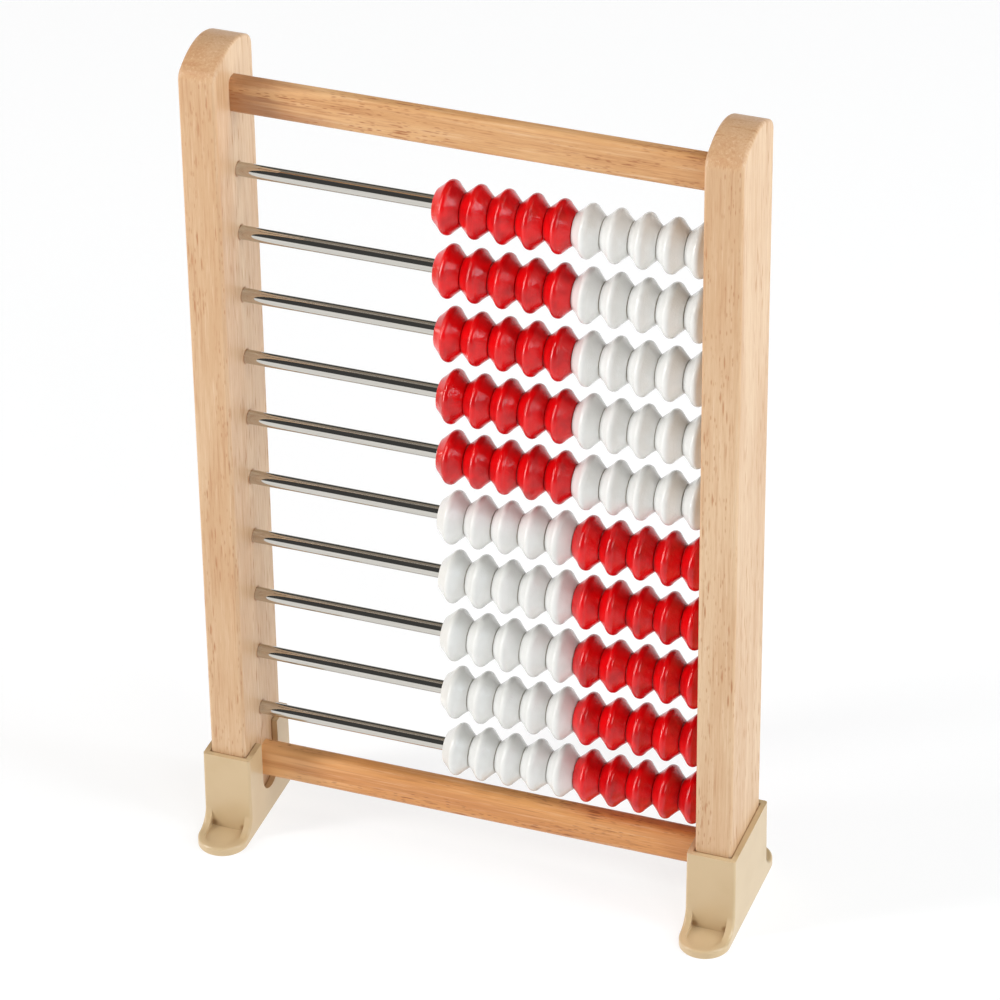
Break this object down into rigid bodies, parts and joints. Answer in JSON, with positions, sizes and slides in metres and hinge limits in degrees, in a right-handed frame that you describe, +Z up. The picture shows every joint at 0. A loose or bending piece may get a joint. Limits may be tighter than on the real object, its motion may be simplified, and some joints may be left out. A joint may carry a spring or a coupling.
{
  "type": "abacus",
  "caption": "Upright wooden counting frame: round steel rods between two posts in moulded feet, each rod strung with sliding red and white beads.",
  "frame": {"origin": "on the ground, midway between the two posts and midway through their depth", "axes": "+Z up, +X along the rods towards the end where the beads are stored, +Y towards the back"},
  "size_m": [0.203, 0.0684, 0.3185],
  "materials": {
    "post_wood": "clear satin lacquer",
    "rail_wood": "clear satin lacquer",
    "foot_plastic": "moulded satin",
    "rod_steel": "polished",
    "red_bead": "gloss paint",
    "white_bead": "gloss paint"
  },
  "bodies": {
    "frame": {"left_post": "post_wood", "right_post": "post_wood", "top_rail": "rail_wood", "bottom_rail": "rail_wood", "left_foot": "foot_plastic", "right_foot": "foot_plastic", "rod_01": "rod_steel", "rod_02": "rod_steel", "rod_03": "rod_steel", "rod_04": "rod_steel", "rod_05": "rod_steel", "rod_06": "rod_steel", "rod_07": "rod_steel", "rod_08": "rod_steel", "rod_09": "rod_steel", "rod_10": "rod_steel"},
    "row_01_white_beads": {"row_01_white_beads": "white_bead"},
    "row_01_red_beads": {"row_01_red_beads": "red_bead"},
    "row_02_white_beads": {"row_02_white_beads": "white_bead"},
    "row_02_red_beads": {"row_02_red_beads": "red_bead"},
    "row_03_white_beads": {"row_03_white_beads": "white_bead"},
    "row_03_red_beads": {"row_03_red_beads": "red_bead"},
    "row_04_white_beads": {"row_04_white_beads": "white_bead"},
    "row_04_red_beads": {"row_04_red_beads": "red_bead"},
    "row_05_white_beads": {"row_05_white_beads": "white_bead"},
    "row_05_red_beads": {"row_05_red_beads": "red_bead"},
    "row_06_red_beads": {"row_06_red_beads": "red_bead"},
    "row_06_white_beads": {"row_06_white_beads": "white_bead"},
    "row_07_red_beads": {"row_07_red_beads": "red_bead"},
    "row_07_white_beads": {"row_07_white_beads": "white_bead"},
    "row_08_red_beads": {"row_08_red_beads": "red_bead"},
    "row_08_white_beads": {"row_08_white_beads": "white_bead"},
    "row_09_red_beads": {"row_09_red_beads": "red_bead"},
    "row_09_white_beads": {"row_09_white_beads": "white_bead"},
    "row_10_red_beads": {"row_10_red_beads": "red_bead"},
    "row_10_white_beads": {"row_10_white_beads": "white_bead"}
  },
  "joints": [
    {"name": "row_01_right_five_slide", "type": "slide", "parent": "frame", "child": "row_01_white_beads", "axis": [-1, 0, 0], "range_m": [0, 0.0716]},
    {"name": "row_01_left_five_slide", "type": "slide", "parent": "row_01_white_beads", "child": "row_01_red_beads", "axis": [1, 0, 0], "range_m": [-0.0716, 0]},
    {"name": "row_02_right_five_slide", "type": "slide", "parent": "frame", "child": "row_02_white_beads", "axis": [-1, 0, 0], "range_m": [0, 0.0716]},
    {"name": "row_02_left_five_slide", "type": "slide", "parent": "row_02_white_beads", "child": "row_02_red_beads", "axis": [1, 0, 0], "range_m": [-0.0716, 0]},
    {"name": "row_03_right_five_slide", "type": "slide", "parent": "frame", "child": "row_03_white_beads", "axis": [-1, 0, 0], "range_m": [0, 0.0716]},
    {"name": "row_03_left_five_slide", "type": "slide", "parent": "row_03_white_beads", "child": "row_03_red_beads", "axis": [1, 0, 0], "range_m": [-0.0716, 0]},
    {"name": "row_04_right_five_slide", "type": "slide", "parent": "frame", "child": "row_04_white_beads", "axis": [-1, 0, 0], "range_m": [0, 0.0716]},
    {"name": "row_04_left_five_slide", "type": "slide", "parent": "row_04_white_beads", "child": "row_04_red_beads", "axis": [1, 0, 0], "range_m": [-0.0716, 0]},
    {"name": "row_05_right_five_slide", "type": "slide", "parent": "frame", "child": "row_05_white_beads", "axis": [-1, 0, 0], "range_m": [0, 0.0716]},
    {"name": "row_05_left_five_slide", "type": "slide", "parent": "row_05_white_beads", "child": "row_05_red_beads", "axis": [1, 0, 0], "range_m": [-0.0716, 0]},
    {"name": "row_06_right_five_slide", "type": "slide", "parent": "frame", "child": "row_06_red_beads", "axis": [-1, 0, 0], "range_m": [0, 0.0716]},
    {"name": "row_06_left_five_slide", "type": "slide", "parent": "row_06_red_beads", "child": "row_06_white_beads", "axis": [1, 0, 0], "range_m": [-0.0716, 0]},
    {"name": "row_07_right_five_slide", "type": "slide", "parent": "frame", "child": "row_07_red_beads", "axis": [-1, 0, 0], "range_m": [0, 0.0716]},
    {"name": "row_07_left_five_slide", "type": "slide", "parent": "row_07_red_beads", "child": "row_07_white_beads", "axis": [1, 0, 0], "range_m": [-0.0716, 0]},
    {"name": "row_08_right_five_slide", "type": "slide", "parent": "frame", "child": "row_08_red_beads", "axis": [-1, 0, 0], "range_m": [0, 0.0716]},
    {"name": "row_08_left_five_slide", "type": "slide", "parent": "row_08_red_beads", "child": "row_08_white_beads", "axis": [1, 0, 0], "range_m": [-0.0716, 0]},
    {"name": "row_09_right_five_slide", "type": "slide", "parent": "frame", "child": "row_09_red_beads", "axis": [-1, 0, 0], "range_m": [0, 0.0716]},
    {"name": "row_09_left_five_slide", "type": "slide", "parent": "row_09_red_beads", "child": "row_09_white_beads", "axis": [1, 0, 0], "range_m": [-0.0716, 0]},
    {"name": "row_10_right_five_slide", "type": "slide", "parent": "frame", "child": "row_10_red_beads", "axis": [-1, 0, 0], "range_m": [0, 0.0716]},
    {"name": "row_10_left_five_slide", "type": "slide", "parent": "row_10_red_beads", "child": "row_10_white_beads", "axis": [1, 0, 0], "range_m": [-0.0716, 0]}
  ]
}
